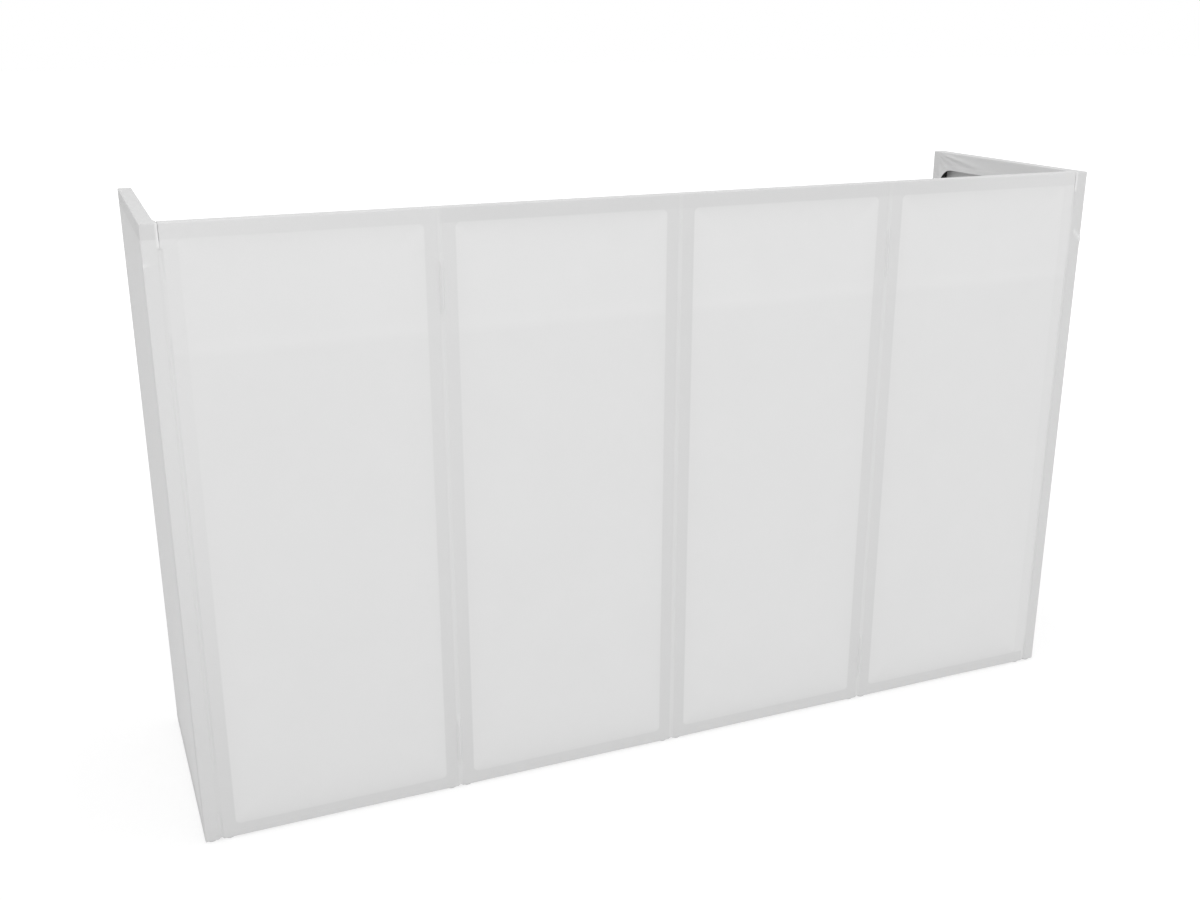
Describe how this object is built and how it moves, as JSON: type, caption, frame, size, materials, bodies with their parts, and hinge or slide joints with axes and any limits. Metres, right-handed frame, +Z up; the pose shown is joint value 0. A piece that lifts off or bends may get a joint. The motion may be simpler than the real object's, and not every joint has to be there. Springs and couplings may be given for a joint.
{
  "type": "dj booth",
  "caption": "Free-standing folding facade of a DJ booth: hinged square-tube frames under a white stretch cover, with a wing at each end that folds flat.",
  "frame": {"origin": "bottom centre of the set-up facade, on the floor", "axes": "+X to the audience's right along the front, +Y back towards the performer, +Z up"},
  "size_m": [2.0006, 0.523, 1.2],
  "materials": {
    "cover": "white fine-knit stretch fabric",
    "frame": "satin black powder coat",
    "foot": "white moulded nylon",
    "plug": "black moulded plastic",
    "hinge": "black painted steel",
    "pin": "zinc-plated steel",
    "rivet": "aluminium blind rivet"
  },
  "bodies": {
    "wing_left": {"wing_left_rear_stile": "frame", "wing_left_front_stile": "frame", "wing_left_rails": "frame", "wing_left_feet": "foot", "wing_left_plugs": "plug", "wing_left_rivets": "rivet", "wing_left_cover": "cover", "corner_left_left_leaves": "hinge", "corner_left_pins": "pin"},
    "front_1": {"front_1_left_stile": "frame", "front_1_right_stile": "frame", "front_1_rails": "frame", "front_1_feet": "foot", "front_1_plugs": "plug", "front_1_rivets": "rivet", "front_1_cover": "cover", "corner_left_right_leaves": "hinge", "fold_left_left_leaves": "hinge", "fold_left_pins": "pin"},
    "front_2": {"front_2_left_stile": "frame", "front_2_right_stile": "frame", "front_2_rails": "frame", "front_2_feet": "foot", "front_2_plugs": "plug", "front_2_rivets": "rivet", "front_2_cover": "cover", "fold_left_right_leaves": "hinge", "fold_centre_left_leaves": "hinge", "fold_centre_pins": "pin"},
    "front_3": {"front_3_left_stile": "frame", "front_3_right_stile": "frame", "front_3_rails": "frame", "front_3_feet": "foot", "front_3_plugs": "plug", "front_3_rivets": "rivet", "front_3_cover": "cover", "fold_centre_right_leaves": "hinge", "fold_right_left_leaves": "hinge", "fold_right_pins": "pin"},
    "front_4": {"front_4_left_stile": "frame", "front_4_right_stile": "frame", "front_4_rails": "frame", "front_4_feet": "foot", "front_4_plugs": "plug", "front_4_rivets": "rivet", "front_4_cover": "cover", "fold_right_right_leaves": "hinge", "corner_right_left_leaves": "hinge", "corner_right_pins": "pin"},
    "wing_right": {"wing_right_front_stile": "frame", "wing_right_rear_stile": "frame", "wing_right_rails": "frame", "wing_right_feet": "foot", "wing_right_plugs": "plug", "wing_right_rivets": "rivet", "wing_right_cover": "cover", "corner_right_right_leaves": "hinge"}
  },
  "joints": [
    {"name": "fold_centre", "type": "hinge", "parent": "front_2", "child": "front_3", "pos_m": [0, -0.23093, 0.5825], "axis": [0, 0, 1], "range_deg": [0, 180]},
    {"name": "fold_left", "type": "hinge", "parent": "front_2", "child": "front_1", "pos_m": [-0.485, -0.25873, 0.5825], "axis": [0, 0, 1], "range_deg": [0, 180]},
    {"name": "fold_right", "type": "hinge", "parent": "front_3", "child": "front_4", "pos_m": [0.485, -0.25873, 0.5825], "axis": [0, 0, -1], "range_deg": [0, 180]},
    {"name": "corner_left", "type": "hinge", "parent": "front_1", "child": "wing_left", "pos_m": [-0.97, -0.23093, 0.5825], "axis": [0, 0, -1], "range_deg": [0, 90]},
    {"name": "corner_right", "type": "hinge", "parent": "front_4", "child": "wing_right", "pos_m": [0.97, -0.23093, 0.5825], "axis": [0, 0, 1], "range_deg": [0, 90]}
  ],
  "couplings": [
    {"joint": "fold_left", "follows": "fold_centre", "ratio": 1},
    {"joint": "fold_right", "follows": "fold_centre", "ratio": 1}
  ]
}
